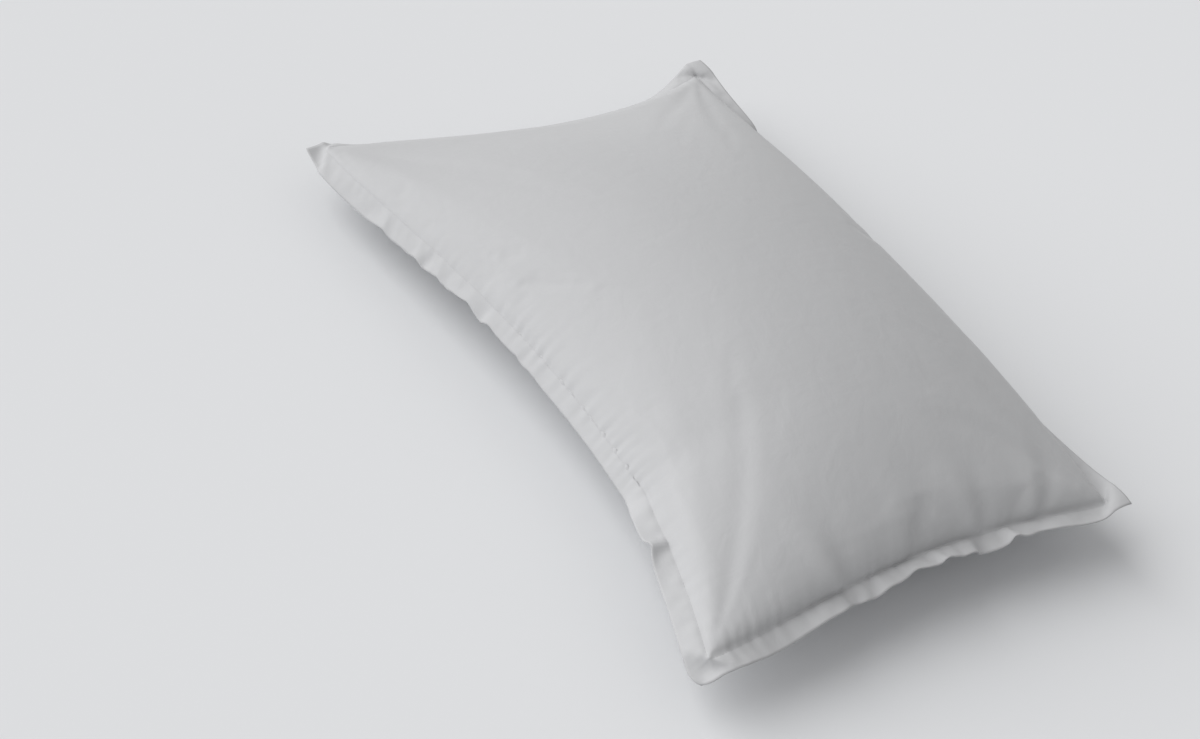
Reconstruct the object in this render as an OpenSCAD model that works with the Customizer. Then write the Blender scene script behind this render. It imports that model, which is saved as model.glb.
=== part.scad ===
// Bed pillow: a stuffed insert inside a case with a narrow flat flange and an envelope closure.
// It lies on its back panel. X runs along its length, Z is its loft, and z = 0 is the bed.

/* [Case] */
// Length from corner to corner, flange included
case_l = 730; // [600:1:880]
// Width from corner to corner, flange included
case_w = 500; // [410:1:600]
// Width of the flat flange round the edge
flange_w = 20; // [12:1:28]
// Thickness of the case's cloth
case_t = 0.6; // [0.4:0.1:1]
// How far a short edge draws in at its middle
short_pull = 22; // [0:1:30]
// How far a long edge draws in at its middle
long_pull = 30; // [0:1:40]

/* [Loft] */
// Height of the seam plane above the bed
seam_h = 62; // [50:1:76]
// Height of the crown above the seam plane
crown_h = 93; // [76:1:114]
// How far the bed has pushed the belly in
belly_press = 12; // [8:1:20]
// Fullness of the swell along both directions; more is flatter on top
swell_full = 2.2; // [2:0.1:2.6]
// Roundness of the swell at the edge; less is rounder
swell_edge = 0.6; // [0.5:0.05:0.7]

/* [Closure] */
// Distance of the mouth's lip from the end of the case, along the side seam
lip_from_end = 180; // [140:1:220]
// Length of the flap that lies inside the back panel
flap_overlap = 150; // [100:1:180]
// Width of both folded hems
hem_w = 25; // [12:1:35]
// Length of the bar tack at each end of the mouth
bartack_l = 10; // [6:1:14]
// Width of the bar tacks
bartack_w = 2; // [1:0.5:3]

/* [Insert] */
// Thickness of the ticking
ticking_t = 0.6; // [0.4:0.1:1]
// Diameter of the piping round the ticking's seam
piping_d = 3; // [2:0.5:4]
// How far the insert's corners stay back from the case's corners
corner_back = 18; // [12:1:26]
// Length of the seam that closes the ticking after filling
closing_l = 200; // [120:1:260]

/* [Filling] */
// Thickness of the lower fibre layer in the middle
base_batt_t = 34; // [30:1:37]
// Travel of the upper fibre layer as the pillow is pressed
press_travel = 50; // [30:1:55]
// Thickness of the middle fibre layer when the pillow is fully pressed
core_left = 2; // [1:0.5:4]
// Swell, from 0 at the seam to 1 at the crown, at which the upper layer ends
batt_swell = 0.46; // [0.44:0.01:0.6]
// Clearance between the upper layer and the hollow that it sinks into
well_clear = 3; // [2:0.5:6]

/* [Trim] */
// Width of a line of stitching
thread_w = 0.8; // [0.5:0.1:1.2]
// Height of a line of stitching above its cloth
thread_h = 0.25; // [0.2:0.05:0.35]
// Distance of the topstitching outside the filled chamber
stitch_out = 2; // [1.5:0.5:5]
// Pitch of the closing stitches
closing_pitch = 8; // [5:1:12]
// Length of the care label
label_l = 45; // [30:1:55]
// Width of the care label
label_w = 28; // [20:1:34]
// Thickness of the labels
label_t = 0.35; // [0.2:0.05:0.4]

/* [Fits] */
// Gap between one cloth layer and the next
layer_gap = 0.5; // [0.5:0.1:1]
// Gap between the piping and the case on each side of it
seam_clear = 0.6; // [0.4:0.1:1]
// Gap between the ticking and the fibre
fill_gap = 2.6; // [2.4:0.1:3.5]
// Gap between fibre layers that move against each other
batt_gap = 0.3; // [0.2:0.1:0.6]
// Gap that keeps trim off the face that it lies on
trim_gap = 0.05; // [0.02:0.01:0.1]

/* [Hidden] */

grey = [0.77, 0.775, 0.785];
white = [0.95, 0.95, 0.93];
fibre = [0.97, 0.97, 0.96];
thread_grey = grey * 0.95;

// Cloth layers above the bed, each at its height in the flat middle of the belly
belly_h = seam_h + belly_press;
flap_z = 2 * case_t + layer_gap;
ticking_z = 4 * case_t + 2 * layer_gap + ticking_t;
fill_z = ticking_z + ticking_t + fill_gap;
well_z = fill_z + base_batt_t;
cut_z = well_z + press_travel + core_left;

// Insets from the case's outer edge
stitch_in = flange_w - stitch_out;
front_in = flange_w + case_t;
flap_in = flange_w + flap_z;
ticking_in = flap_in + case_t + piping_d + 2 * seam_clear;
fill_in = ticking_in + ticking_t + fill_gap;

// Crowns above the seam plane
ticking_crown = crown_h - case_t - layer_gap;
fill_crown = ticking_crown - ticking_t - fill_gap;

// Grid lines, in mm along the side seam, closer together near the edge
cell = 38;
hem_step = 2;
edge_lines = [0, 4, 12, 24, 42, 68];
edge_last = len(edge_lines) - 1;
edge_zone = edge_lines[edge_last];
half_l = case_l / 2 - flange_w;
half_w = case_w / 2 - flange_w;
flap_drop = case_t + trim_gap;
lip_x = case_l / 2 - lip_from_end;
flap_x = lip_x - flap_overlap;

function between(a, b) = let (n = ceil((b - a) / cell)) [for (k = [1:1:n - 1]) a + (b - a) * k / n];
function from_low(h) = [for (d = edge_lines) d - h];
function to_high(h) = [for (k = [edge_last:-1:0]) h - edge_lines[k]];
function index_of(list, x) = [for (k = [0:len(list) - 1]) if (abs(list[k] - x) < 0.001) k][0];

x_lines = concat(from_low(half_l), between(edge_zone - half_l, flap_x - hem_step),
    [flap_x - hem_step, flap_x, flap_x + hem_w, flap_x + hem_w + hem_step],
    between(flap_x + hem_w + hem_step, lip_x - hem_w - hem_step),
    [lip_x - hem_w - hem_step, lip_x - hem_w, lip_x],
    between(lip_x, half_l - edge_zone), to_high(half_l));
y_lines = concat(from_low(half_w), between(edge_zone - half_w, half_w - edge_zone), to_high(half_w));
nx = len(x_lines) - 1;
ny = len(y_lines) - 1;
flap_i = index_of(x_lines, flap_x);
lip_i = index_of(x_lines, lip_x);

// Swell of the pillow at u, v, which run from -1 to 1 across the filled chamber
function swell(u, v) =
    pow(max(0, (1 - pow(abs(u), swell_full)) * (1 - pow(abs(v), swell_full))), swell_edge);

// Place on the bed of u, v, for an edge that lies ix and iy inside the case's outline;
// back rounds the corners, and the power keeps that rounding near them
corner_power = 4;
function plan(u, v, ix, iy, back = 0) = let (c = back * pow(u * v, corner_power))
    [u * (case_l / 2 - ix - short_pull * (1 - v * v)) - sign(u) * c,
     v * (case_w / 2 - iy - long_pull * (1 - u * u)) - sign(v) * c];

// Where a line at x along the side seam crosses the middle of the pillow
function middle_x(x) = plan(x / half_l, 0, flange_w, flange_w)[0];

// Grid lines -1 and n + 1 are the outer edge of the flange
function lim(k, n) = max(0, min(n, k));
function grid_u(i) = x_lines[lim(i, nx)] / half_l;
function grid_v(j) = y_lines[lim(j, ny)] / half_w;
function grid_swell(i, j) = swell(grid_u(i), grid_v(j));
function grid_plan(i, j, inset, back = 0) =
    plan(grid_u(i), grid_v(j), (i < 0 || i > nx) ? 0 : inset, (j < 0 || j > ny) ? 0 : inset, back);
function raise(p, z) = [p[0], p[1], z];

// Height below the seam plane of a layer that leaves the seam at top and is flat at low
function belly(top, low, s) = max(low, top - (belly_h - low) * s);

// Layers of the envelope closure: how many lie outside a panel's edge, and where hems double it
function under_flap(i) = i >= flap_i ? 1 : 0;
function back_hem(i) = i >= lip_i - 1 ? 1 : 0;
function flap_hem(i) = i <= flap_i + 1 ? 1 : 0;

// Where the flat of the belly ends near the middle line, for a layer that lies flat at low
function flat_end(low) = middle_x(max([for (i = [0:lip_i])
    if (swell(grid_u(i), cell / half_w) >= (seam_h - low) / (belly_h - low)) x_lines[i]]));

// One face of each sheet, as rows of points along the length
function face(i0, i1, j0, j1, inset, height, back = 0) =
    [for (i = [i0:i1]) [for (j = [j0:j1]) raise(grid_plan(i, j, inset, back), height(i, j))]];
function back_inside() = face(-1, lip_i, -1, ny + 1, front_in, function (i, j)
    belly(seam_h - flap_drop * under_flap(i), case_t * (1 + back_hem(i)), grid_swell(i, j)));
function flap_inside() = face(flap_i, nx + 1, -1, ny + 1, flap_in + case_t, function (i, j)
    belly(seam_h, flap_z + case_t * (1 + flap_hem(i)), grid_swell(i, j)));

// Closed solid between two faces of the same size
module sheet(top, bottom) {
    m = len(top) - 1;
    n = len(top[0]) - 1;
    w = n + 1;
    low = (m + 1) * w;
    rim = concat([for (j = [0:n - 1]) j], [for (i = [0:m - 1]) i * w + n],
        [for (j = [n:-1:1]) m * w + j], [for (i = [m:-1:1]) i * w]);
    polyhedron(points = concat([for (row = top) each row], [for (row = bottom) each row]), faces = concat(
        [for (i = [0:m - 1], j = [0:n - 1]) let (a = i * w + j) each
            [[a, a + 1, a + w + 1], [a, a + w + 1, a + w]]],
        [for (i = [0:m - 1], j = [0:n - 1]) let (a = low + i * w + j) each
            [[a, a + w + 1, a + 1], [a, a + w, a + w + 1]]],
        [for (k = [0:len(rim) - 1]) let (a = rim[k], b = rim[(k + 1) % len(rim)]) each
            [[b, a, a + low], [b, a + low, b + low]]]));
}

// Closed solid through loops of equal length, closed at each end round its middle
module lofted(loops) {
    m = len(loops);
    n = len(loops[0]);
    ends = [[0, 0, loops[0][0][2]], [0, 0, loops[m - 1][0][2]]];
    polyhedron(points = concat([for (loop = loops) each loop], ends), faces = concat(
        [for (i = [0:m - 2], k = [0:n - 1]) let (a = i * n + k, b = i * n + (k + 1) % n) each
            [[a, a + n, b + n], [a, b + n, b]]],
        [for (k = [0:n - 1]) [m * n, k, (k + 1) % n]],
        [for (k = [0:n - 1]) [m * n + 1, (m - 1) * n + (k + 1) % n, (m - 1) * n + k]]));
}

// Closed ring: a section, as [outward, up] points, carried round a loop
module ring(loop, section) {
    n = len(loop);
    m = len(section);
    out = [for (k = [0:n - 1]) let (d = loop[(k + 1) % n] - loop[(k + n - 1) % n])
        [d[1], -d[0], 0] / norm([d[0], d[1]])];
    polyhedron(points = [for (k = [0:n - 1], s = section) loop[k] + out[k] * s[0] + [0, 0, s[1]]],
        faces = [for (k = [0:n - 1], s = [0:m - 1])
            let (here = k * m, next = ((k + 1) % n) * m, t = (s + 1) % m)
            each [[here + s, here + t, next + t], [here + s, next + t, next + s]]]);
}

// Grid points round the chamber's edge, anticlockwise, with a height for each
edge_nodes = concat([for (i = [0:nx - 1]) [i, 0]], [for (j = [0:ny - 1]) [nx, j]],
    [for (i = [nx:-1:1]) [i, ny]], [for (j = [ny:-1:1]) [0, j]]);
function edge_loop(inset, height, back = 0) = [for (g = edge_nodes)
    raise(plan(grid_u(g[0]), grid_v(g[1]), inset, inset, back), height(g[0]))];

// Level loops of the swell, for the fibre: each direction meets its level at one radius
side_l = 20;
side_w = 16;
directions = concat([for (k = [0:side_l - 1]) [2 * k / side_l - 1, -1]],
    [for (k = [0:side_w - 1]) [1, 2 * k / side_w - 1]],
    [for (k = [0:side_l - 1]) [1 - 2 * k / side_l, 1]],
    [for (k = [0:side_w - 1]) [-1, 1 - 2 * k / side_w]]);
function reach(d, s) = let (level = pow(s, 1 / swell_edge), a = pow(abs(d[0]), swell_full),
    b = pow(abs(d[1]), swell_full), sum = a + b)
    pow(2 * (1 - level) / (sum + sqrt(sum * sum - 4 * a * b * (1 - level))), 1 / swell_full);
function level_loop(s, z, inset) = [for (d = directions) let (r = reach(d, s))
    raise(plan(r * d[0], r * d[1], inset, inset, corner_back), z)];
function fill_top(s) = seam_h + fill_crown * s;
function fill_low(s) = belly(seam_h, fill_z, s);

module case_front_panel() {
    color(grey) sheet(
        face(-1, nx + 1, -1, ny + 1, flange_w,
            function (i, j) seam_h + case_t + (crown_h - case_t) * grid_swell(i, j)),
        face(-1, nx + 1, -1, ny + 1, front_in,
            function (i, j) seam_h + (crown_h - case_t) * grid_swell(i, j)));
}

module case_back_panel() {
    color(grey) sheet(back_inside(),
        face(-1, lip_i, -1, ny + 1, flange_w, function (i, j)
            belly(seam_h - case_t - flap_drop * under_flap(i), 0, grid_swell(i, j))));
}

module case_closure_flap() {
    color(grey) sheet(flap_inside(),
        face(flap_i, nx + 1, -1, ny + 1, flap_in,
            function (i, j) belly(seam_h - case_t, flap_z, grid_swell(i, j))));
}

// The needle thread lies on the front of the flange and the bobbin thread under it
module flange_topstitch() {
    w = thread_w / 2;
    under = seam_h - case_t - trim_gap;
    color(thread_grey) {
        ring(edge_loop(stitch_in, function (i) seam_h + case_t),
            [[w, 0], [w, thread_h], [-w, thread_h], [-w, 0]]);
        ring(edge_loop(stitch_in, function (i) under - (i >= flap_i && i <= lip_i ? flap_drop : 0)),
            [[w, -thread_h], [w, 0], [-w, 0], [-w, -thread_h]]);
    }
}

// Line of stitching across a face, along row i on the side of row k, short of the side seams
module hem_line(rows, i, k) {
    side = 2;
    s = thread_w / norm(rows[k][side] - rows[i][side]);
    function at(s, lift) = [for (j = [side:ny + 2 - side])
        rows[i][j] * (1 - s) + rows[k][j] * s + [0, 0, lift]];
    near = k > i ? 0 : s;
    far = k > i ? s : 0;
    sheet([at(near, trim_gap + thread_h), at(far, trim_gap + thread_h)],
        [at(near, trim_gap), at(far, trim_gap)]);
}

module back_hem_stitch() {
    color(thread_grey) hem_line(back_inside(), lip_i, lip_i + 1);
}

module flap_hem_stitch() {
    color(thread_grey) hem_line(flap_inside(), 1, 0);
}

module closure_bartacks() {
    inset = stitch_in - thread_w - bartack_w;
    under = seam_h - case_t - flap_drop - trim_gap;
    color(thread_grey) for (side = [-1, 1]) {
        p = plan(lip_x / half_l, side, inset, inset);
        translate([p[0] - bartack_l - thread_w, p[1] - bartack_w / 2, under - thread_h])
            cube([bartack_l, bartack_w, thread_h]);
    }
}

// Blank label on the inside of the back panel, behind its hem and on the flat of the belly
module case_care_label() {
    end = min(middle_x(lip_x - hem_w - hem_step), flat_end(case_t)) - hem_step;
    color(white) translate([end - label_l, -label_w / 2, case_t + trim_gap])
        cube([label_l, label_w, label_t]);
}

module ticking_front() {
    color(white) sheet(
        face(0, nx, 0, ny, ticking_in,
            function (i, j) seam_h + ticking_t + (ticking_crown - ticking_t) * grid_swell(i, j), corner_back),
        face(0, nx, 0, ny, ticking_in + ticking_t,
            function (i, j) seam_h + (ticking_crown - ticking_t) * grid_swell(i, j), corner_back));
}

module ticking_back() {
    color(white) sheet(
        face(0, nx, 0, ny, ticking_in + ticking_t,
            function (i, j) belly(seam_h, ticking_z + ticking_t, grid_swell(i, j)), corner_back),
        face(0, nx, 0, ny, ticking_in,
            function (i, j) belly(seam_h - ticking_t, ticking_z, grid_swell(i, j)), corner_back));
}

module ticking_piping() {
    r = piping_d / 2;
    color(white * 0.95) ring(edge_loop(ticking_in, function (i) seam_h, corner_back),
        [for (a = [0:60:300]) [r + trim_gap, 0] + r * [cos(a), sin(a)]]);
}

// Separate stitches over the piping, across the middle of one short end
module ticking_closing_stitch() {
    n = floor(closing_l / closing_pitch / 2);
    color(grey) for (k = [-n:n]) {
        y = k * closing_pitch;
        p = plan(1, y / (case_w / 2 - ticking_in), ticking_in, ticking_in, corner_back);
        translate([p[0] + piping_d / 3, y - thread_w / 2, seam_h + piping_d / 2 + trim_gap])
            cube([piping_d / 2, thread_w, thread_h]);
    }
}

// Blank label under the ticking's flat middle
module ticking_label() {
    color(white) translate([middle_x(flap_x) - hem_w - label_l, -label_w / 2, ticking_z - trim_gap - label_t])
        cube([label_l, label_w, label_t]);
}

module fill_top_batt() {
    inset = fill_in + well_clear;
    dome = [batt_swell, 0.56, 0.66, 0.76, 0.85, 0.93, 0.98];
    color(fibre) lofted(concat([level_loop(batt_swell, cut_z, inset)],
        [for (s = dome) level_loop(s, fill_top(s), inset)]));
}

module fill_core_batt() {
    inset = fill_in + well_clear;
    color(fibre * 0.97) lofted([level_loop(batt_swell, well_z + batt_gap, inset),
        level_loop(batt_swell, cut_z - batt_gap, inset)]);
}

// Lower layer: it lines the belly, rises round the edge and leaves a hollow for the upper layers
module fill_base_batt() {
    flat = (seam_h - fill_z) / (belly_h - fill_z);
    rim = [0.05, 0.1, 0.19, 0.3, 0.42];
    under = concat(rim, [0.55, 0.7]);
    color(fibre * 0.94) lofted(concat([level_loop(flat, fill_z, fill_in)],
        [for (k = [len(under) - 1:-1:0]) level_loop(under[k], fill_low(under[k]), fill_in)],
        [for (s = rim) level_loop(s, fill_top(s), fill_in)],
        [level_loop(batt_swell, fill_top(batt_swell), fill_in), level_loop(batt_swell, well_z, fill_in)]));
}

case_front_panel();
case_back_panel();
case_closure_flap();
flange_topstitch();
back_hem_stitch();
flap_hem_stitch();
closure_bartacks();
case_care_label();
ticking_front();
ticking_back();
ticking_piping();
ticking_closing_stitch();
ticking_label();
fill_top_batt();
fill_core_batt();
fill_base_batt();
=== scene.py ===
import math

import bpy
import numpy as np
from mathutils import Matrix, Vector, noise


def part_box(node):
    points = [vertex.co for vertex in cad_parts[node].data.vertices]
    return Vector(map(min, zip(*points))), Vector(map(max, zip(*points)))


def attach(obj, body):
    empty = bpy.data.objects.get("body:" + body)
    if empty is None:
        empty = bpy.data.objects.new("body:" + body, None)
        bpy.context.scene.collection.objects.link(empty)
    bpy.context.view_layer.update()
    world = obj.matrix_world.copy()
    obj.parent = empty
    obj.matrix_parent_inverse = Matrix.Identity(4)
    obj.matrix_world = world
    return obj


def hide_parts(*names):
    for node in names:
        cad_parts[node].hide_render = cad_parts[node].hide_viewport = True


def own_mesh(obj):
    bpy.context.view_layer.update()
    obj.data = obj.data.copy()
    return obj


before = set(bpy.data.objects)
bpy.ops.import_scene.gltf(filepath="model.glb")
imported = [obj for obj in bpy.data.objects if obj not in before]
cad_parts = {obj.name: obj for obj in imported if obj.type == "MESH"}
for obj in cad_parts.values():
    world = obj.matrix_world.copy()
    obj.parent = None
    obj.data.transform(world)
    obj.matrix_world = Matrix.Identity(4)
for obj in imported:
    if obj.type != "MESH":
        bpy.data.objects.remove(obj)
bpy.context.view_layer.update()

# ---------------------------------------------------------------- sizes, in metres
CUT_L, CUT_W = 0.755, 0.520          # the case's panels as cut, flange included
FLANGE = 0.020
HEM_W = 0.025
CLOTH_T = 0.0005                     # thickness of one layer of cloth
LAYER = 0.0009                       # from one layer to the next, with room for a label
GAP = 0.00005                        # from the middle surface of the seam to the cloth on each side
STITCH_OUT = 0.002                   # topstitching outside the filled chamber
STITCH_PITCH = 0.0032
RUN_STEP = 0.0008                    # between the places that a run of stitching is measured through
THREAD = (0.0026, 0.00045, 0.0004)   # length, width and height of a machine stitch
STEP = 0.006                         # cell of the simulated cloth
SIM_FRAMES = 30
WRINKLES = 0.3                       # how much of the simulated wrinkles stays
SWELL_FULL, SWELL_EDGE = 2.2, 0.6    # fullness and roundness of the swell in the CAD

CASE_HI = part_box("case_front_panel")[1]
SEAM_Z = sum(corner.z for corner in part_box("ticking_piping")) / 2
HALF_L, HALF_W = CASE_HI.x, CASE_HI.y
CROWN = CASE_HI.z - SEAM_Z
LIP_AT, FLAP_AT = 0.185, 0.035       # where the mouth's lip and the flap's hem meet the side seam
LIP_X = LIP_AT / (HALF_L - FLANGE) * (CUT_L / 2 - FLANGE)     # the same in the flat panel
FLAP_X = FLAP_AT / (HALF_L - FLANGE) * (CUT_L / 2 - FLANGE)


# ---------------------------------------------------------------- cloth grids
def grid_lines(length):
    """Lines across the flat panel; one falls on each edge of the filled chamber."""
    inner = length / 2 - FLANGE
    n = round(2 * inner / STEP)
    m = round(FLANGE / STEP)
    out = np.linspace(inner, length / 2, m + 1)[1:]
    return np.concatenate([-out[::-1], np.linspace(-inner, inner, n + 1), out]), m


FLAT_X, RIM = grid_lines(CUT_L)
FLAT_Y, _ = grid_lines(CUT_W)
NX, NY = len(FLAT_X), len(FLAT_Y)
INNER_X, INNER_Y = CUT_L / 2 - FLANGE, CUT_W / 2 - FLANGE
U = np.clip(FLAT_X / INNER_X, -1, 1)[:, None]
V = np.clip(FLAT_Y / INNER_Y, -1, 1)[None, :]
CHAMBER = (slice(RIM, NX - RIM), slice(RIM, NY - RIM))                  # lines up to its edge
WITHIN = (slice(RIM + 1, NX - RIM - 1), slice(RIM + 1, NY - RIM - 1))   # lines inside its edge


def inflate():
    """Two flat panels, sewn round the chamber and blown up: (front, back) grids of points."""
    front = np.zeros((NX, NY, 3))
    front[..., 0], front[..., 1] = FLAT_X[:, None], FLAT_Y[None, :]
    start, full = 0.004, 0.075                   # height of one side before and after
    front[..., 2] = start * (1 - U * U) * (1 - V * V)
    back = front * [1, 1, -1]
    index = np.arange(NX * NY).reshape(NX, NY)
    under = index.copy()
    under[WITHIN] = NX * NY + np.arange(under[WITHIN].size).reshape(under[WITHIN].shape)
    points = np.concatenate([front.reshape(-1, 3), back[WITHIN].reshape(-1, 3)])
    faces = quads(index) + quads(under[CHAMBER], flip=True)
    cloth = mesh_object("cloth", points, faces)
    chamber = index[CHAMBER].ravel().tolist() + under[WITHIN].ravel().tolist()
    cloth.vertex_groups.new(name="chamber").add(chamber, 1.0, "REPLACE")
    modifier = cloth.modifiers.new("Cloth", "CLOTH")
    settings = modifier.settings
    settings.quality = 6
    settings.mass = 0.01
    settings.tension_stiffness = settings.compression_stiffness = 40
    settings.shear_stiffness = 20
    settings.bending_stiffness = 0.5
    settings.tension_damping = settings.compression_damping = settings.shear_damping = 5
    settings.bending_damping = 0.5
    settings.air_damping = 1
    settings.use_pressure = True
    settings.uniform_pressure_force = 2
    settings.vertex_group_pressure = "chamber"
    settings.effector_weights.gravity = 0
    modifier.collision_settings.use_collision = False
    for f in range(1, SIM_FRAMES + 1):
        bpy.context.scene.frame_set(f)
    done = cloth.evaluated_get(bpy.context.evaluated_depsgraph_get()).data
    points = np.empty(len(points) * 3)
    done.vertices.foreach_get("co", points)
    points = points.reshape(-1, 3)
    bpy.data.objects.remove(cloth)
    bpy.context.scene.frame_set(1)
    return points[index], points[under]


def quads(index, flip=False):
    """Faces of a grid of vertex numbers."""
    a, b, c, d = index[:-1, :-1], index[1:, :-1], index[1:, 1:], index[:-1, 1:]
    corners = (a, d, c, b) if flip else (a, b, c, d)
    return np.stack(corners, -1).reshape(-1, 4).tolist()


def mesh_object(name, points, faces, smooth=True):
    mesh = bpy.data.meshes.new(name)
    mesh.from_pydata([tuple(map(float, p)) for p in points], [], faces)
    mesh.polygons.foreach_set("use_smooth", [smooth] * len(mesh.polygons))
    mesh.update()
    piece = bpy.data.objects.new(name, mesh)
    bpy.context.scene.collection.objects.link(piece)
    return piece


def blur(a, sigma, axis):
    """Gaussian blur along one axis, in cells, with the ends carried on in a straight line."""
    r = int(3 * sigma)
    k = np.exp(-0.5 * (np.arange(-r, r + 1) / sigma) ** 2)
    k /= k.sum()
    a = np.moveaxis(a, axis, 0)
    first, last = 2 * a[:1] - a[r:0:-1], 2 * a[-1:] - a[-2:-r - 2:-1]
    padded = np.concatenate([first, a, last])
    out = sum(w * padded[i:i + len(a)] for i, w in enumerate(k))
    return np.moveaxis(out, 0, axis)


def bow(t, depth, middle, slow, fast):
    """How far an edge draws in at t, from -1 to 1, deepest at middle and slower before it."""
    w = np.where(t < middle, (t - middle) / (1 + middle), (t - middle) / (1 - middle))
    power = np.where(t < middle, slow, fast)
    return depth * np.maximum(1 - w * w, 0) ** power


def bump(t, place, width):
    """A rounded bump of height 1 at a place."""
    return np.exp(-0.5 * ((t - place) / width) ** 2)


# the seam's four sides as the photo shows them: drawn in along their run, and a little arched
SEAM_L, SEAM_W = HALF_L - FLANGE, HALF_W - FLANGE


def left_seam(u):
    notch = 0.004 * bump(u, 0.52, 0.045)
    pull = bow(u, depth=0.044, middle=0.3, slow=1.7, fast=1.0) + notch
    arch = 0.016 * (1 - u * u)
    return np.stack([u * SEAM_L, pull - SEAM_W, arch], -1)


def right_seam(u):
    pull = bow(u, depth=0.016, middle=0.0, slow=1.0, fast=1.0)
    arch = 0.015 * (1 - u * u)
    return np.stack([u * SEAM_L, SEAM_W - pull, arch], -1)


def far_seam(v):
    pull = bow(v, depth=0.040, middle=0.1, slow=1.5, fast=1.0)
    arch = 0.003 * (1 - v * v)
    return np.stack([pull - SEAM_L, v * SEAM_W, arch], -1)


def near_seam(v):
    pull = bow(v, depth=0.018, middle=0.1, slow=1.7, fast=1.3)
    arch = 0.003 * (1 - v * v)
    return np.stack([SEAM_L - pull, v * SEAM_W, arch], -1)


CROWN_EDGES = (0.76, 0.53, 0.72, 0.49)       # roundness at the far, near, left and right edges
CROWN_LESS = 0.009                           # taken off, as the arched seams add 0.0185 to the crown
BELLY_EDGES = (0.45, 0.45, 0.45, 0.45)
BELLY = 0.080                                # how deep the belly would hang off the bed


def between_seams(p, q):
    """A point for each p along and q across, from -1 to 1, on a surface through the four seams."""
    a, b = ((1 + p) / 2)[..., None], ((1 + q) / 2)[..., None]
    corners = [(1 - a) * (1 - b) * left_seam(-np.ones_like(p)), a * (1 - b) * left_seam(np.ones_like(p)),
               (1 - a) * b * right_seam(-np.ones_like(p)), a * b * right_seam(np.ones_like(p))]
    return ((1 - b) * left_seam(p) + b * right_seam(p) + (1 - a) * far_seam(q) + a * near_seam(q)
            - sum(corners))


def even_spread(t, half, height, edges):
    """Where cloth at t, from -1 to 1, lies in plan, if it is spread evenly over the curve of the swell."""
    out = np.empty_like(t)
    for side, edge in zip((-1, 1), edges):
        p = 1 - np.linspace(1, 0, 600) ** 2      # close together at the edge, where it is steep
        z = height * (1 - p ** SWELL_FULL) ** edge
        run = np.concatenate([[0], np.cumsum(np.hypot(np.diff(p) * half, np.diff(z)))])
        here = t * side >= 0
        out[here] = side * np.interp(np.abs(t[here]), run / run[-1], p)
    return out


def stuffed(height, edges):
    """The chamber's smooth shape on one side: a grid of points, heights from the seam plane."""
    u, v = U[CHAMBER[0], 0], V[0, CHAMBER[1]]
    drawn_l, drawn_w, fade = 0.020, 0.030, 2.5   # how far the ends and the sides draw in at their middles
    gu = even_spread(u, SEAM_L - drawn_l, abs(height), edges[:2])
    gv = even_spread(v, SEAM_W - drawn_w, abs(height), edges[2:])
    share_u = (1 - np.abs(u) ** fade)[:, None]
    share_v = (1 - np.abs(v) ** fade)[None, :]
    p = u[:, None] + (gu - u)[:, None] * share_v
    q = v[None, :] + (gv - v)[None, :] * share_u
    points = between_seams(p, q)
    along = np.where(p < 0, edges[0], edges[1])
    flatter = 0.22 * ((1 - p) / 2) ** 3          # the right edge is less round towards the far corner
    across = np.where(q < 0, edges[2], edges[3] + flatter)
    points[..., 2] += (height * np.maximum(1 - np.abs(p) ** SWELL_FULL, 0) ** along
                       * np.maximum(1 - np.abs(q) ** SWELL_FULL, 0) ** across)
    return points


def reshape(grid, wanted, cells=4):
    """Moves a simulated grid onto the wanted shape, and keeps a share of its wrinkles."""
    off = wanted - grid[CHAMBER]
    smooth = blur(blur(off, cells, 0), cells, 1)
    move = smooth + (1 - WRINKLES) * (off - smooth)
    i = np.clip(np.arange(NX), RIM, NX - RIM - 1) - RIM
    j = np.clip(np.arange(NY), RIM, NY - RIM - 1) - RIM
    return grid + move[i][:, j] + [0, 0, SEAM_Z]


def rest_on_bed(back):
    """Flattens the belly where it lies on the bed."""
    back = back.copy()
    start = 0.004                                # height at which it begins to flatten
    z = back[..., 2]
    back[..., 2] = np.where(z < start, start * start / (2 * start - np.minimum(z, start)), z)
    return back


# folds that run in from the flange at the near end: strength, place, width and lean
NEAR_FOLDS = ((1, -0.085, 0.008, -0.3), (0.8, -0.010, 0.010, 0.25), (1, 0.082, 0.007, -0.2),
              (0.9, 0.150, 0.008, 0.3))
# how far the flange's corners lift: far left, near left, near right, far right
CORNER_LIFTS = ((-1, -1, 0.008), (1, -1, -0.006), (1, 1, -0.004), (-1, 1, 0.0))
CORNER = 0.036


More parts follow.
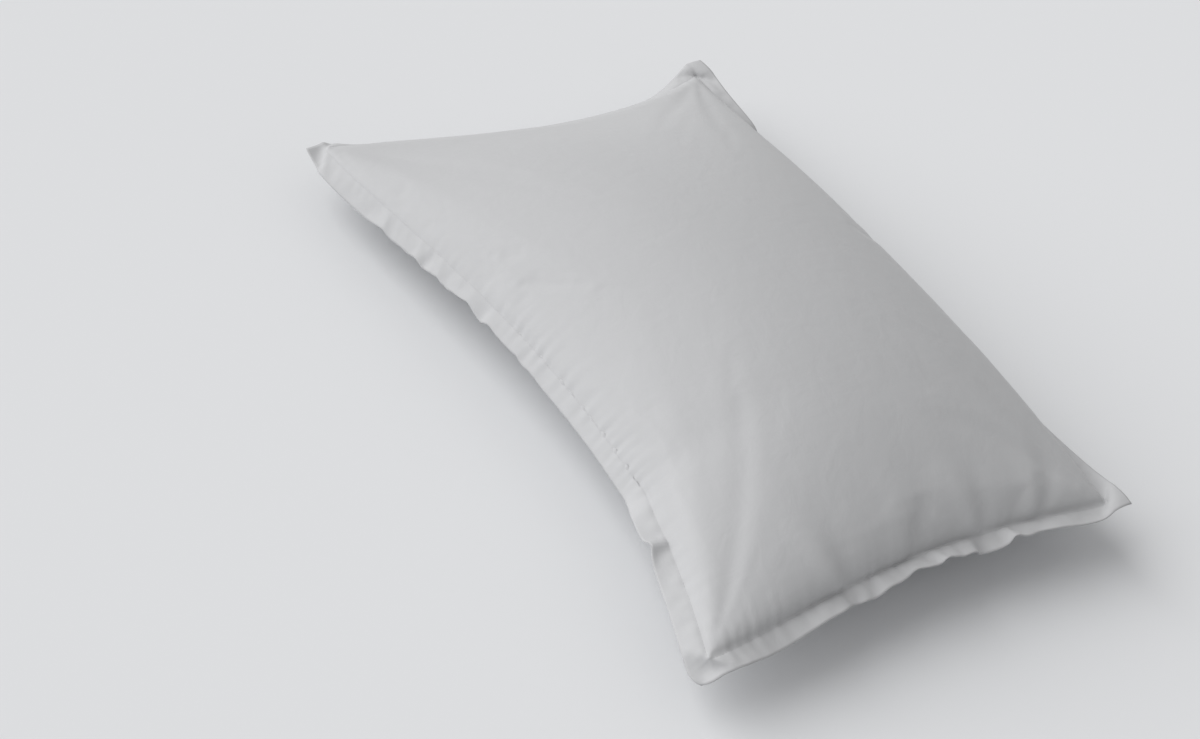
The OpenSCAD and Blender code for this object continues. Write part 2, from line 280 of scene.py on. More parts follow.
def turn_flange(grid):
    """The flange's waves, its droop and its corners."""
    x, y = FLAT_X[:, None], FLAT_Y[None, :]
    out_near = np.clip((x - INNER_X) / FLANGE, 0, 1)
    folds = sum(k * bump(y, p, w) for k, p, w, _ in NEAR_FOLDS)
    fold_in, fold_down = 0.004, 0.005
    waves = 0.004 * np.sin(y / 0.021 + 0.6)
    grid[..., 0] -= fold_in * out_near * folds
    grid[..., 2] += out_near * (waves - fold_down * folds)
    # droop of the other edges in degrees; the left one hangs more up to its notch
    before_notch = 1 / (1 + np.exp((U - 0.53) / 0.02))
    far = 58 * (1 - V ** 6) + 6 * np.maximum(V, 0) ** 6
    right = 30 * (1 - U ** 6) + 4 * np.maximum(-U, 0) ** 6
    left = 40 * (1 - U ** 6) * before_notch + 20
    for out, sign, axis, droop in ((np.clip((-x - INNER_X) / FLANGE, 0, 1), 1, 0, far),
                                   (np.clip((-y - INNER_Y) / FLANGE, 0, 1), 1, 1, left),
                                   (np.clip((y - INNER_Y) / FLANGE, 0, 1), -1, 1, right)):
        droop = np.radians(droop)
        grid[..., 2] -= out * FLANGE * np.sin(droop)
        grid[..., axis] += sign * out * FLANGE * (1 - np.cos(droop))
    for sx, sy, lift in CORNER_LIFTS:
        corner = np.clip((sx * x + sy * y - (CUT_L + CUT_W) / 2 + CORNER) / CORNER, 0, 1)
        grid[..., 2] += lift * corner ** 1.5
    return grid


def blunt(grid):
    """Rounds the flange's corner at the near left."""
    cut = 0.006
    both = np.minimum(FINE_X[:, None] - INNER_X, -FINE_Y[None, :] - INNER_Y) / FLANGE
    grid[..., :2] += (np.clip(both, 0, 1) ** 2)[..., None] * [-cut, cut]
    return grid


def cubic(grid, at, axis):
    """Samples a grid at fractional line numbers along one axis, on smooth cubics."""
    g = np.moveaxis(grid, axis, 0)
    g = np.concatenate([2 * g[:1] - g[1:2], g, 2 * g[-1:] - g[-2:-1]])
    i = np.clip(np.floor(at).astype(int), 0, len(g) - 4)
    t = (at - i).reshape((-1,) + (1,) * (g.ndim - 1))
    p0, p1, p2, p3 = g[i], g[i + 1], g[i + 2], g[i + 3]
    out = 0.5 * (2 * p1 + (p2 - p0) * t + (2 * p0 - 5 * p1 + 4 * p2 - p3) * t ** 2
                 + (3 * p1 - p0 - 3 * p2 + p3) * t ** 3)
    return np.moveaxis(out, 0, axis)


def sample(grid, x, y):
    """Points of a grid over the flat panel at flat places x, y (equal shapes)."""
    fx = np.interp(x, FINE_X, np.arange(len(FINE_X)))
    fy = np.interp(y, FINE_Y, np.arange(len(FINE_Y)))
    i = np.clip(fx.astype(int), 0, len(FINE_X) - 2)
    j = np.clip(fy.astype(int), 0, len(FINE_Y) - 2)
    a, b = (fx - i)[..., None], (fy - j)[..., None]
    return ((1 - a) * (1 - b) * grid[i, j] + a * (1 - b) * grid[i + 1, j]
            + (1 - a) * b * grid[i, j + 1] + a * b * grid[i + 1, j + 1])


def fine_lines(lines, inner, extra=()):
    """Lines of the finished mesh: 3 mm apart, and closer at the stitching and at extra places."""
    close = np.array([-0.004, -0.003, -0.002, -0.001, 0.0, 0.0015, 0.003, 0.0045])
    near_edge = [s * (inner - d) for s in (-1, 1) for d in close]
    base = np.arange(0, lines[-1], STEP / 2)
    clear_seam, clear = 0.0016, 0.0012
    keep = [x for x in np.concatenate([-base[:0:-1], base])
            if all(abs(x - e) > clear_seam for e in near_edge)]
    keep = [x for x in keep if all(abs(x - e) > clear for e in extra) and abs(x) < lines[-1] - clear]
    return np.array(sorted(set(keep + near_edge + list(extra) + [lines[0], lines[-1]])))


OVER_FLAP, OVER_HEM = 0.006, 0.0012  # run in which the back steps over the flap's edge, and over a hem's
HEM_LINES = [LIP_X - HEM_W - OVER_HEM, LIP_X - HEM_W, LIP_X - HEM_W + 0.0015, LIP_X - HEM_W + 0.003,
             LIP_X - OVER_HEM, LIP_X, FLAP_X - OVER_FLAP, FLAP_X - OVER_FLAP / 2, FLAP_X,
             FLAP_X + HEM_W, FLAP_X + HEM_W + OVER_HEM]
FINE_X = fine_lines(FLAT_X, INNER_X, HEM_LINES)
FINE_Y = fine_lines(FLAT_Y, INNER_Y)


def refine(grid):
    """A grid of the simulated lines, sampled at the lines of the finished mesh."""
    at_x = np.interp(FINE_X, FLAT_X, np.arange(NX))
    at_y = np.interp(FINE_Y, FLAT_Y, np.arange(NY))
    return cubic(cubic(grid, at_x, 0), at_y, 1)


def normals(grid, sign=1):
    """Unit normals of a grid; sign 1 has them point up."""
    n = np.cross(np.gradient(grid, axis=0), np.gradient(grid, axis=1)) * sign
    return n / np.maximum(np.linalg.norm(n, axis=-1, keepdims=True), 1e-12)


def edge_distance():
    """Distance in the flat panel from the chamber's edge, positive outside, and the place along it."""
    dx, dy = np.abs(FINE_X)[:, None] - INNER_X, np.abs(FINE_Y)[None, :] - INNER_Y
    at_end = dx > dy
    # the 3 and the 7 give each of the four sides a stretch of its own in the gathers' waves
    along = np.where(at_end, FINE_Y[None, :] + np.sign(FINE_X)[:, None] * 3,
                     FINE_X[:, None] + np.sign(FINE_Y)[None, :] * 7)
    return np.maximum(dx, dy), along


def pucker(grid, sign):
    """Small gathers along the topstitching, and the groove that the thread pulls in."""
    d, s = edge_distance()
    short, long = 0.0112, 0.0181                 # lengths of the two sets of gathers
    height, reach_in, reach_out = 0.0006, 0.015, 0.014
    groove_depth, groove_width = 0.0004, 0.0011
    wave = (np.sin(s * 2 * math.pi / short + 2.1 * np.sin(s * 23)) * (0.6 + 0.4 * np.sin(s * 41))
            + 0.6 * np.sin(s * 2 * math.pi / long + 1.7 * np.sin(s * 17)))
    within = np.exp(np.minimum(d, 0) / reach_in)
    beyond = np.exp(-np.maximum(d, 0) / reach_out)
    lift = height * wave * within * beyond * (0.55 + 0.45 * np.sin(s * 9 + 1))
    if sign > 0:
        fold_height, fold_run, spread = 0.0022, 0.02, 0.12
        run = np.clip(INNER_X - FINE_X, 0, 1)[:, None]
        share = run / fold_run * np.exp(1 - run / fold_run)
        for k, p, w, lean in NEAR_FOLDS:
            across = (FINE_Y[None, :] - p - lean * run) / (w + spread * run)
            lift = lift - fold_height * k * share * across * np.exp(0.5 - 0.5 * across ** 2)
    groove = -groove_depth * np.exp(-((d - STITCH_OUT) / groove_width) ** 2)
    n = normals(grid)
    return grid + n * (lift + sign * groove)[..., None]


# ---------------------------------------------------------------- solid pieces from grids
def shell(name, grid, low, high, flip=False, flat=None):
    """Closed sheet of cloth between two offsets from a grid, along its normals."""
    sign = -1 if flip else 1
    n = normals(grid, sign)
    low = np.broadcast_to(low, grid.shape[:2])[..., None]
    high = np.broadcast_to(high, grid.shape[:2])[..., None]
    rows, cols = grid.shape[:2]
    top = np.arange(rows * cols).reshape(rows, cols)
    base = top + rows * cols
    loop = np.concatenate([top[:-1, 0], top[-1, :-1], top[:0:-1, -1], top[0, :0:-1]])
    nxt = np.roll(loop, -1)
    size = rows * cols
    rim = np.stack([nxt, loop, loop + size, nxt + size], -1)
    if flip:
        rim = rim[:, ::-1]
    faces = quads(top, flip) + quads(base, not flip) + rim.tolist()
    points = np.concatenate([(grid + n * high).reshape(-1, 3), (grid + n * low).reshape(-1, 3)])
    piece = mesh_object(name, points, faces)
    if flat is not None:
        uv = np.stack(np.broadcast_arrays(flat[0][:, None], flat[1][None, :]), -1).reshape(-1, 2)
        uv = np.concatenate([uv, uv])
        layer = piece.data.uv_layers.new(name="flat_cloth")
        corner = np.empty(len(piece.data.loops), int)
        piece.data.loops.foreach_get("vertex_index", corner)
        layer.data.foreach_set("uv", uv[corner].ravel())
    return piece


def capsules(name, centres, along, up, length=THREAD[0], width=THREAD[1], height=THREAD[2]):
    """Many separate stitches: rounded threads, each lying along its own direction."""
    # each ring's place along the stitch and its share of the full thickness
    rings = [(-0.5, 0.25), (-0.42, 0.75), (-0.2, 1), (0.2, 1), (0.42, 0.75), (0.5, 0.25)]
    sides = 6
    angles = np.arange(sides) * 2 * math.pi / sides
    points, faces = [], []
    for c, t, n in zip(centres, along, up):
        t = t / np.linalg.norm(t)
        b = np.cross(n, t)
        b /= np.linalg.norm(b)
        n = np.cross(t, b)
        first = len(points)
        for a, r in rings:
            for g in angles:
                points.append(c + t * a * length + b * math.cos(g) * r * width / 2
                              + n * math.sin(g) * r * height / 2)
        for k in range(len(rings) - 1):
            for q in range(sides):
                a0 = first + k * sides + q
                b0 = first + k * sides + (q + 1) % sides
                faces.append((a0, b0, b0 + sides, a0 + sides))
        faces.append(tuple(first + q for q in range(sides - 1, -1, -1)))
        faces.append(tuple(first + (len(rings) - 1) * sides + q for q in range(sides)))
    return mesh_object(name, points, faces)


def stitch_run(grid, x, y, sign, lift, pitch=STITCH_PITCH):
    """Centres, directions and normals of stitches along a line of flat places on a grid."""
    n = normals(grid, sign)
    points = sample(grid, x, y) + sample(n, x, y) * lift
    steps = np.linalg.norm(np.diff(points, axis=0), axis=1)
    run = np.concatenate([[0], np.cumsum(steps)])
    count = int(run[-1] / pitch)
    at = (np.arange(count) + 0.5) * run[-1] / count
    ends = [np.stack([np.interp(a, run, points[:, k]) for k in range(3)], -1)
            for a in (at - pitch * 0.3, at + pitch * 0.3)]
    up = np.stack([np.interp(at, run, sample(n, x, y)[:, k]) for k in range(3)], -1)
    return (ends[0] + ends[1]) / 2, ends[1] - ends[0], up


def rectangle(a, b):
    """Flat places round a rectangle with half sides a and b."""
    xs = np.arange(-a, a, RUN_STEP)
    ys = np.arange(-b, b, RUN_STEP)
    x = np.concatenate([xs, np.full(len(ys), a), -xs, np.full(len(ys), -a)])
    y = np.concatenate([np.full(len(xs), -b), ys, np.full(len(xs), b), -ys])
    return x, y


def dress(piece, body, slot, cad_node):
    """Puts a piece on its body, in place of its CAD node, with its slot's material."""
    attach(piece, body)
    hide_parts(cad_node)
    piece.data.materials.append(MATERIALS[slot])
    return piece


def press(piece, slot, cad_node):
    """A soft piece on the pillow's body, with its slot's material and a mesh of its own."""
    dress(piece, "pillow", slot, cad_node)
    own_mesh(piece)
    return piece


# ---------------------------------------------------------------- materials
def material(name, colour, roughness, sheen=0.0):
    """A fabric: returns the material, its node tree and its shader."""
    made = bpy.data.materials.new(name)
    made.use_nodes = True
    tree = made.node_tree
    shader = tree.nodes["Principled BSDF"]
    shader.inputs["Base Color"].default_value = (*colour, 1)
    shader.inputs["Roughness"].default_value = roughness
    shader.inputs["Sheen Weight"].default_value = sheen
    shader.inputs["Sheen Roughness"].default_value = 0.5
    shader.inputs["Specular IOR Level"].default_value = 0.25
    return made, tree, shader


def node(tree, kind, **values):
    """Adds a node; values are its inputs by name (spaces as _) or its own settings."""
    made = tree.nodes.new(kind)
    for key, value in values.items():
        socket = key.replace("_", " ")
        if socket in made.inputs:
            if isinstance(value, bpy.types.NodeSocket):
                tree.links.new(value, made.inputs[socket])
            else:
                made.inputs[socket].default_value = value
        else:
            setattr(made, key, value)
    return made


def maths(tree, operation, *values):
    """Adds a maths node on numbers and sockets, and returns its output."""
    made = tree.nodes.new("ShaderNodeMath")
    made.operation = operation
    for socket, value in zip(made.inputs, values):
        if isinstance(value, bpy.types.NodeSocket):
            tree.links.new(value, socket)
        else:
            socket.default_value = value
    return made.outputs[0]


def woven(name, colour, roughness, sheen, thread, crease, dust=0.03):
    """Plain weave on the cloth's own flat coordinates, with slubs, soft creases and uneven colour."""
    made, tree, shader = material(name, colour, roughness, sheen)
    flat = node(tree, "ShaderNodeUVMap", uv_map="flat_cloth").outputs[0]
    split = node(tree, "ShaderNodeSeparateXYZ", Vector=flat)
    x, y = split.outputs[0], split.outputs[1]
    turn = math.pi / thread
    over = maths(tree, "MULTIPLY", maths(tree, "SINE", maths(tree, "MULTIPLY", x, turn)),
                 maths(tree, "SINE", maths(tree, "MULTIPLY", y, turn)))
    along, across = 1 / (60 * thread), 1 / (1.2 * thread)
    slubs = []
    for stretch in ((along, across, 1), (across, along, 1)):
        place = node(tree, "ShaderNodeMapping", Vector=flat, Scale=stretch)
        slubs.append(node(tree, "ShaderNodeTexNoise", Vector=place.outputs[0], Scale=1.0, Detail=2.0,
                          Roughness=0.5).outputs["Fac"])
    yarn = maths(tree, "ADD", maths(tree, "MULTIPLY", over, 0.1),
                 maths(tree, "ADD", slubs[0], slubs[1]))
    soft = node(tree, "ShaderNodeTexNoise", Vector=flat, Scale=38.0, Detail=5.0, Roughness=0.55,
                Distortion=0.6).outputs["Fac"]
    fine_bump = node(tree, "ShaderNodeBump", Strength=0.12, Distance=thread * 0.5, Height=yarn)
    crease_bump = node(tree, "ShaderNodeBump", Strength=1.0, Distance=crease, Height=soft,
                       Normal=fine_bump.outputs[0])
    tree.links.new(crease_bump.outputs[0], shader.inputs["Normal"])
    broad = node(tree, "ShaderNodeTexNoise", Vector=flat, Scale=7.0, Detail=3.0, Roughness=0.6)
    tone = maths(tree, "ADD", maths(tree, "MULTIPLY", broad.outputs["Fac"], dust),
                 maths(tree, "MULTIPLY", maths(tree, "ADD", slubs[0], slubs[1]), 0.02))
    ramp = node(tree, "ShaderNodeMix", data_type="RGBA", blend_type="MIX")
    tree.links.new(maths(tree, "MULTIPLY", tone, 6.0), ramp.inputs["Factor"])
    ramp.inputs["A"].default_value = (*[c * 0.93 for c in colour], 1)
    ramp.inputs["B"].default_value = (*[min(1, c * 1.05) for c in colour], 1)
    tree.links.new(ramp.outputs["Result"], shader.inputs["Base Color"])
    rough = maths(tree, "ADD", roughness - 0.05, maths(tree, "MULTIPLY", soft, 0.1))
    tree.links.new(rough, shader.inputs["Roughness"])
    return made


def spun(name, colour, roughness, scale, strength):
    """Thread, tape or fibre: fine stretched noise for colour and bump."""
    made, tree, shader = material(name, colour, roughness, 0.3)
    place = node(tree, "ShaderNodeTexCoord").outputs["Object"]
    fuzz = node(tree, "ShaderNodeTexNoise", Vector=place, Scale=scale, Detail=4.0, Roughness=0.7,
                Distortion=1.5)
    ramp = node(tree, "ShaderNodeMix", data_type="RGBA", blend_type="MIX", Factor=fuzz.outputs["Fac"])
    ramp.inputs["A"].default_value = (*[c * 0.82 for c in colour], 1)
    ramp.inputs["B"].default_value = (*[min(1, c * 1.1) for c in colour], 1)
    tree.links.new(ramp.outputs["Result"], shader.inputs["Base Color"])
    bump_node = node(tree, "ShaderNodeBump", Strength=strength, Distance=0.5 / scale,
                     Height=fuzz.outputs["Fac"])
    tree.links.new(bump_node.outputs[0], shader.inputs["Normal"])
    return made


MATERIALS = {
    "case_cloth": woven("case_cotton", (0.50, 0.503, 0.512),
                        roughness=0.72, sheen=0.25, thread=0.00022, crease=0.0006),
    "ticking_cloth": woven("ticking_cambric", (0.86, 0.86, 0.84),
                           roughness=0.8, sheen=0.1, thread=0.00025, crease=0.0005),
    "case_thread": spun("case_thread", (0.47, 0.473, 0.482), roughness=0.65, scale=2500.0, strength=0.6),
    "piping_cloth": spun("piping_cotton", (0.83, 0.83, 0.81), roughness=0.8, scale=1800.0, strength=0.5),
    "ticking_thread": spun("ticking_thread", (0.66, 0.67, 0.69),
                           roughness=0.65, scale=2500.0, strength=0.6),
    "label_tape": spun("label_tape", (0.86, 0.86, 0.84), roughness=0.5, scale=1500.0, strength=0.3),
    "fibre_fill": spun("polyester_fibre", (0.9, 0.9, 0.89), roughness=0.9, scale=220.0, strength=1.0),
}


# ---------------------------------------------------------------- the case
blown_front, blown_back = inflate()
coarse_front = reshape(blown_front, stuffed(CROWN - CROWN_LESS, CROWN_EDGES))
coarse_back = rest_on_bed(reshape(blown_back, stuffed(-BELLY, BELLY_EDGES)))
coarse_front = turn_flange(coarse_front)
shared = np.ones((NX, NY), bool)     # the seam and the flange, where both sides follow one surface
shared[WITHIN] = False
coarse_back[shared] = coarse_front[shared]

front_grid = pucker(blunt(refine(coarse_front)), 1)
back_grid = pucker(refine(coarse_back), -1)
edge_d, _ = edge_distance()
back_grid[edge_d >= 0] = front_grid[edge_d >= 0]

# each layer of the back lies under the one inside it
over_flap = np.clip((FINE_X - FLAP_X) / OVER_FLAP + 1, 0, 1)
back_hem = np.clip((FINE_X - (LIP_X - HEM_W)) / OVER_HEM + 1, 0, 1)
flap_hem = np.clip((FLAP_X + HEM_W - FINE_X) / OVER_HEM + 1, 0, 1)
to_lip = FINE_X <= LIP_X + 1e-6
from_flap = FINE_X >= FLAP_X - 1e-6
back_low = GAP + LAYER * over_flap[to_lip][:, None]
back_high = back_low + CLOTH_T + LAYER * back_hem[to_lip][:, None]
flap_low = GAP - LAYER * flap_hem[from_flap][:, None] * (edge_d < -0.001)[from_flap]

case_front = press(shell("case_front", front_grid, GAP, GAP + CLOTH_T, flat=(FINE_X, FINE_Y)),
                   "case_cloth", "case_front_panel")
case_back = press(shell("case_back", back_grid[to_lip], back_low, back_high, True,
                        (FINE_X[to_lip], FINE_Y)), "case_cloth", "case_back_panel")
case_flap = press(shell("case_flap", back_grid[from_flap], flap_low, GAP + CLOTH_T, True,
                        (FINE_X[from_flap], FINE_Y)), "case_cloth", "case_closure_flap")


def flange_topstitch():
    """Separate stitches on both faces of the flange, all round."""
    x, y = rectangle(INNER_X + STITCH_OUT, INNER_Y + STITCH_OUT)
    top = stitch_run(front_grid, x, y, 1, GAP + CLOTH_T)
    layers = np.interp(x, [FLAP_X - OVER_FLAP, FLAP_X, LIP_X, LIP_X + 0.001], [0, 1, 1, 0])
    low = stitch_run(front_grid, x, y, -1, (GAP + CLOTH_T + LAYER * layers)[:, None])
    parts = [np.concatenate(p) for p in zip(top, low)]
    return capsules("flange_stitches", *parts)


HEM_STITCH_IN = 0.0022               # from a hem's folded-in edge to its stitching


def hem_stitch(name, at_x, lift):
    """A straight run of stitches across the back, from near one seam to near the other."""
    short_by = 0.004
    y = np.arange(-INNER_Y + short_by, INNER_Y - short_by, RUN_STEP)
    return capsules(name, *stitch_run(back_grid, np.full(len(y), at_x), y, -1, lift))


def bartacks():
    """A close zigzag across each end of the mouth."""
    count, apart, start, outside = 26, 0.0004, 0.0115, 0.0045
    down = normals(front_grid, -1)
    centres, along, up = [], [], []
    for side in (-1, 1):
        for k in range(count):
            x = np.array([LIP_X - start + k * apart])
            y = np.array([side * (INNER_Y + outside)])
            p, n = sample(front_grid, x, y)[0], sample(down, x, y)[0]
            centres.append(p + n * (GAP + CLOTH_T + LAYER * 2))
            along.append(np.array([0.0006 * (-1) ** k, 0.002, 0]))
            up.append(n)
    return capsules("mouth_bartacks", centres, along, up, length=0.0022, width=0.0004, height=0.0004)


press(flange_topstitch(), "case_thread", "flange_topstitch")
press(hem_stitch("back_hem_stitches", LIP_X - HEM_W + HEM_STITCH_IN, GAP + CLOTH_T + 2 * LAYER),
      "case_thread", "back_hem_stitch")
press(hem_stitch("flap_hem_stitches", FLAP_X + HEM_W - HEM_STITCH_IN, GAP - LAYER - 0.0002),
      "case_thread", "flap_hem_stitch")
press(bartacks(), "case_thread", "closure_bartacks")


# ---------------------------------------------------------------- the insert
def widest(a, cells):
    """Largest value within some cells of each place."""
    for axis in (0, 1):
        for _ in range(cells):
            a = np.maximum(a, np.maximum(np.roll(a, 1, axis), np.roll(a, -1, axis)))
    return a


def hollow_side(grid, sign):
    """The inside that the insert fills: the case without its wrinkles, and within the deepest of them."""
    clear = 0.0015
    soften, reach, blend = 2.5, 2, 1.5           # in cells
    grid = grid.copy()
    part = grid[CHAMBER]
    smooth = blur(blur(part, soften, 0), soften, 1)
    n = normals(smooth, sign)
    dents = np.maximum(((smooth - part) * n).sum(-1), 0)
    dents = blur(blur(widest(dents, reach), blend, 0), blend, 1)
    grid[CHAMBER] = smooth - n * (dents + clear)[..., None]
    return refine(grid)


TICKING_IN = 0.014                   # from the chamber's edge to the ticking's, in flat measure
top_face, low_face = hollow_side(coarse_front, 1), hollow_side(coarse_back, -1)


def inside(u, v, inset, fullness):
    """(upper, lower) points inside the case, for an inset in plan and a share of its thickness."""
    corner_in = 0.012 * np.minimum(1, np.abs(u * v)) ** 4
    x, y = u * (INNER_X - inset - corner_in), v * (INNER_Y - inset - corner_in)
    a, b = sample(top_face, x, y), sample(low_face, x, y)
    close = (1 - np.clip(np.abs(u), 0, 1) ** 12) * (1 - np.clip(np.abs(v), 0, 1) ** 12)
    half = (a - b) / 2 * fullness * np.sqrt(np.clip(close, 0, 1))[..., None]
    return (a + b) / 2 + half, (a + b) / 2 - half


def ticks(count):
    """Places from -1 to 1, closer together towards both ends."""
    return np.sin(np.linspace(-1, 1, count) * math.pi / 2 * 0.9) / math.sin(math.pi / 2 * 0.9)


TICKING_LOW, TICKING_HIGH = 0.0001, 0.0005
ticks_u, ticks_v = ticks(141), ticks(101)
tick_u, tick_v = np.meshgrid(ticks_u, ticks_v, indexing="ij")
tick_top, tick_low = inside(tick_u, tick_v, TICKING_IN, 0.96)
tick_flat = (ticks_u * INNER_X, ticks_v * INNER_Y)
ticking_top = press(shell("ticking_top", tick_top, TICKING_LOW, TICKING_HIGH, flat=tick_flat),
                    "ticking_cloth", "ticking_front")
ticking_under = press(shell("ticking_under", tick_low, TICKING_LOW, TICKING_HIGH, True, tick_flat),
                      "ticking_cloth", "ticking_back")


def border(grid):
    """The points round a grid's edge."""
    return np.concatenate([grid[:-1, 0], grid[-1, :-1], grid[:0:-1, -1], grid[0, :0:-1]])


def tube(name, line, radius, sides=8):
    """A closed cord along a closed line."""
    t = np.roll(line, -1, 0) - np.roll(line, 1, 0)
    t /= np.linalg.norm(t, axis=1, keepdims=True)
    out = np.cross(t, [0, 0, 1.0])
    out /= np.linalg.norm(out, axis=1, keepdims=True)
    up = np.cross(out, t)
    angles = np.arange(sides) * 2 * math.pi / sides
    points = np.stack([line + (out * math.cos(a) + up * math.sin(a)) * radius for a in angles], 1)
    index = np.arange(len(line) * sides).reshape(-1, sides)
    index = np.concatenate([index, index[:1]])
    index = np.concatenate([index, index[:, :1]], 1)
    return mesh_object(name, points.reshape(-1, 3), quads(index))


PIPE_R, PIPE_CLEAR = 0.0015, 0.0006  # the cord's radius, and its clearance from the ticking's edge
rim_line = border((tick_top + tick_low) / 2)
rim_along = np.roll(rim_line, -1, 0) - np.roll(rim_line, 1, 0)
outward = np.stack([rim_along[:, 1], -rim_along[:, 0], 0 * rim_along[:, 2]], -1)
piping_line = rim_line + outward / np.linalg.norm(outward, axis=1, keepdims=True) * (PIPE_R + PIPE_CLEAR)
press(tube("ticking_piping_cord", piping_line, PIPE_R), "piping_cloth", "ticking_piping")


def closing_stitches():
    """Hand stitches that close the ticking at one short end, over the piping."""
    end = piping_line[len(ticks_u):len(ticks_u) + len(ticks_v) - 2]
    reach, apart = 0.097, 0.008
    ys = np.arange(0.001 - reach, reach, apart)
    centres = np.stack([np.interp(ys, end[:, 1], end[:, 0]), ys,
                        np.interp(ys, end[:, 1], end[:, 2]) + PIPE_R], -1)
    along = [np.array([0.003, 0.0016, 0.0])] * len(ys)
    up = [np.array([0, 0, 1.0])] * len(ys)
    return capsules("ticking_closing_stitches", centres, along, up, length=0.0034, width=0.0006,
                    height=0.0005)


press(closing_stitches(), "ticking_thread", "ticking_closing_stitch")


TAPE_T = 0.0003


def label(name, cad_node, grid, xs, ys, lift):
    """A blank tape sewn flat on a layer of cloth."""
    lo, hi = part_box(cad_node)
    at_x = np.linspace(np.interp(lo.x, grid[:, grid.shape[1] // 2, 0], xs),
                       np.interp(hi.x, grid[:, grid.shape[1] // 2, 0], xs), 16)
    at_y = np.linspace(np.interp(lo.y, grid[len(xs) // 2, :, 1], ys),
                       np.interp(hi.y, grid[len(xs) // 2, :, 1], ys), 10)
    fx, fy = np.interp(at_x, xs, np.arange(len(xs))), np.interp(at_y, ys, np.arange(len(ys)))
    patch = cubic(cubic(grid, fx, 0), fy, 1)
    return shell(name, patch, lift, lift + TAPE_T, True, (at_x, at_y))


care = press(label("care_label", "case_care_label", back_grid, FINE_X, FINE_Y, GAP + CLOTH_T + 0.00004),
             "label_tape", "case_care_label")
tick_tag = press(label("insert_label", "ticking_label", tick_low, *tick_flat, 0.00055),
                 "label_tape", "ticking_label")


# ---------------------------------------------------------------- the filling
BATT_SWELL = 0.46                    # where the upper layer ends, as in the CAD
FILL_IN, FILL_FULL = TICKING_IN + 0.004, 0.9     # its inset, and its share of the case's thickness
DIRECTIONS = 96                      # points in each loop


def level(s):
    """Places u, v on the loop at which the swell is s."""
    t = np.linspace(0, 8, DIRECTIONS, endpoint=False)
    du = np.interp(t, [0, 2, 4, 6, 8], [-1, 1, 1, -1, -1])
    dv = np.interp(t, [0, 2, 4, 6, 8], [-1, -1, 1, 1, -1])
    a, b = np.abs(du) ** SWELL_FULL, np.abs(dv) ** SWELL_FULL
    k = s ** (1 / SWELL_EDGE)
    r = (2 * (1 - k) / (a + b + np.sqrt((a + b) ** 2 - 4 * a * b * (1 - k)))) ** (1 / SWELL_FULL)
    return r * du, r * dv


def layer_loop(s, which, z=None, grow=0.0):
    """One loop of a fibre layer: on its upper face, on its lower face, or level at z."""
    u, v = level(s)
    loop = inside(u, v, FILL_IN, FILL_FULL)[which].copy()
    if z is not None:
        loop[:, 2] = z
    flat = loop[:, :2]
    loop[:, :2] = flat + grow * flat / np.linalg.norm(flat, axis=1, keepdims=True)
    return loop


def lumpy(loop, middle, size=0.045, depth=0.05):
    """Draws a loop in and out unevenly towards the middle, as loose fibre lies."""
    share = [1 - depth * (0.5 + noise.noise(Vector(p / size))) for p in loop]
    return middle + (loop - middle) * np.array(share)[:, None]


def lofted(name, loops):
    """Closed solid through loops, closed at each end round its middle."""
    n = DIRECTIONS
    points = np.concatenate(loops + [loops[0].mean(0)[None], loops[-1].mean(0)[None]])
    index = np.arange(len(loops) * n).reshape(-1, n)
    index = np.concatenate([index, index[:, :1]], 1)
    faces = quads(index, flip=True)
    first, last = len(points) - 2, len(points) - 1
    faces += [(first, int(b), int(a)) for a, b in zip(index[0, :-1], index[0, 1:])]
    faces += [(last, int(a), int(b)) for a, b in zip(index[-1, :-1], index[-1, 1:])]
    return mesh_object(name, points, faces)


CUT_Z, WELL_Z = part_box("fill_top_batt")[0].z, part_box("fill_core_batt")[0].z
CORE_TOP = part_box("fill_core_batt")[1].z
WELL_CLEAR = 0.003                   # from the upper layer to the wall of the hollow it sinks into
CORE_IN, CORE_WAIST = 0.005, 0.004
middle = np.array([0, 0, (CUT_Z + WELL_Z) / 2])
# the swell at each loop, over the middle and out towards the edge
dome = [BATT_SWELL, 0.5, 0.56, 0.63, 0.7, 0.77, 0.83, 0.88, 0.92, 0.95, 0.975, 0.99, 0.998]
rim_levels = [0.04, 0.07, 0.11, 0.16, 0.22, 0.28, 0.34, 0.4]

top_batt = lofted("fibre_top", [layer_loop(BATT_SWELL, 0, CUT_Z, grow=-WELL_CLEAR)]
                  + [lumpy(layer_loop(s, 0, grow=-WELL_CLEAR), middle) for s in dome])
dress(top_batt, "upper_fill", "fibre_fill", "fill_top_batt")


def core_loop(share):
    """A level loop of the middle layer, at a share of its height; its side is drawn in halfway up."""
    return layer_loop(BATT_SWELL, 0, WELL_Z + share * (CORE_TOP - WELL_Z),
                      grow=-CORE_IN - CORE_WAIST * math.sin(math.pi * share))


core = lofted("fibre_core", [core_loop(k / 6) for k in range(7)])
dress(core, "pillow", "fibre_fill", "fill_core_batt")
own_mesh(core)

base = lofted("fibre_base", [lumpy(layer_loop(s, 1), middle) for s in dome[::-1]]
              + [lumpy(layer_loop(s, 1), middle) for s in rim_levels[::-1]]
              + [lumpy(layer_loop(s, 0), middle) for s in rim_levels]
              + [layer_loop(BATT_SWELL, 0, z) for z in (None, CUT_Z - 0.01, middle[2], WELL_Z - 0.0003)])
press(base, "fibre_fill", "fill_base_batt")


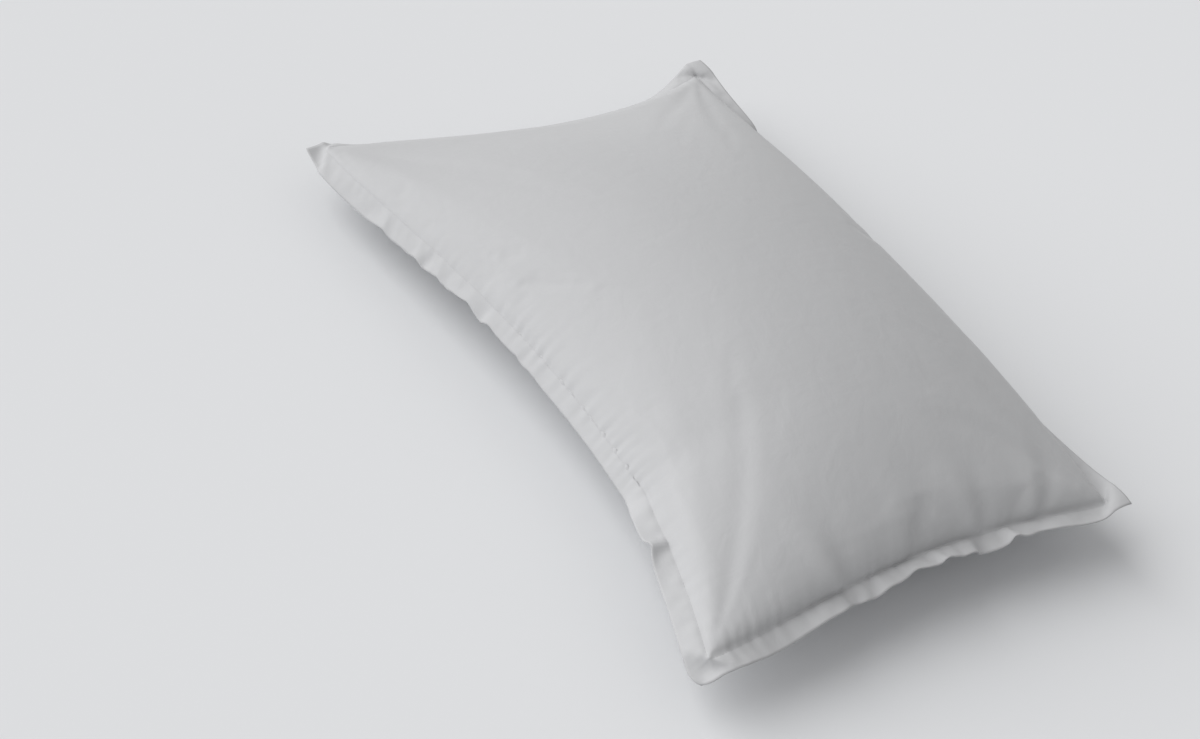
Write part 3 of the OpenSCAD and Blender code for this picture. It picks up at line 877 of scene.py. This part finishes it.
# ---------------------------------------------------------------- floor, lights and camera
def studio():
    """A pale floor, one wide soft sun and a plain bright world that the camera sees as the backdrop."""
    half = 20.0
    floor = mesh_object("floor", [(-half, -half, 0), (half, -half, 0), (half, half, 0), (-half, half, 0)],
                        [(0, 1, 2, 3)], smooth=False)
    paint, _, shader = material("pale_floor", (0.762, 0.770, 0.785), 0.9)
    shader.inputs["Specular IOR Level"].default_value = 0.0
    floor.data.materials.append(paint)
    sun = bpy.data.lights.new("key", "SUN")
    sun.energy = 2.73
    sun.angle = math.radians(68)
    lamp = bpy.data.objects.new("key", sun)
    lamp.rotation_mode = "QUATERNION"
    lamp.rotation_quaternion = Vector((-0.53, -0.66, 0.58)).to_track_quat("Z", "Y")
    bpy.context.scene.collection.objects.link(lamp)
    world = bpy.data.worlds.new("studio")
    world.use_nodes = True
    tree = world.node_tree
    tree.nodes.clear()
    light = node(tree, "ShaderNodeBackground", Color=(1, 1, 1, 1), Strength=0.45)
    seen = node(tree, "ShaderNodeBackground", Color=(0.717, 0.725, 0.739, 1), Strength=1.0)
    mix = tree.nodes.new("ShaderNodeMixShader")
    tree.links.new(tree.nodes.new("ShaderNodeLightPath").outputs["Is Camera Ray"], mix.inputs[0])
    tree.links.new(light.outputs[0], mix.inputs[1])
    tree.links.new(seen.outputs[0], mix.inputs[2])
    tree.links.new(mix.outputs[0], tree.nodes.new("ShaderNodeOutputWorld").inputs[0])
    bpy.context.scene.world = world
    bpy.context.scene.view_settings.view_transform = "Standard"


def camera(place, azimuth, elevation, roll, lens):
    """Angles in degrees; the azimuth and the elevation are of the camera as seen from the pillow."""
    a, e, r = (math.radians(x) for x in (azimuth, elevation, roll))
    back = Vector((math.sin(a) * math.cos(e), -math.cos(a) * math.cos(e), math.sin(e)))
    level_right = Vector((math.cos(a), math.sin(a), 0))
    level_up = back.cross(level_right)
    right = level_right * math.cos(r) + level_up * math.sin(r)
    up = back.cross(right)
    data = bpy.data.cameras.new("camera")
    data.lens, data.sensor_width = lens, 36.0
    data.clip_start, data.clip_end = 0.05, 100.0
    made = bpy.data.objects.new("camera", data)
    made.matrix_world = Matrix.Translation(place) @ Matrix((right, up, back)).transposed().to_4x4()
    bpy.context.scene.collection.objects.link(made)
    bpy.context.scene.camera = made


studio()
camera(Vector((0.982, -1.030, 1.163 + SEAM_Z)), azimuth=46.88, elevation=41.61, roll=16.07, lens=57.18)
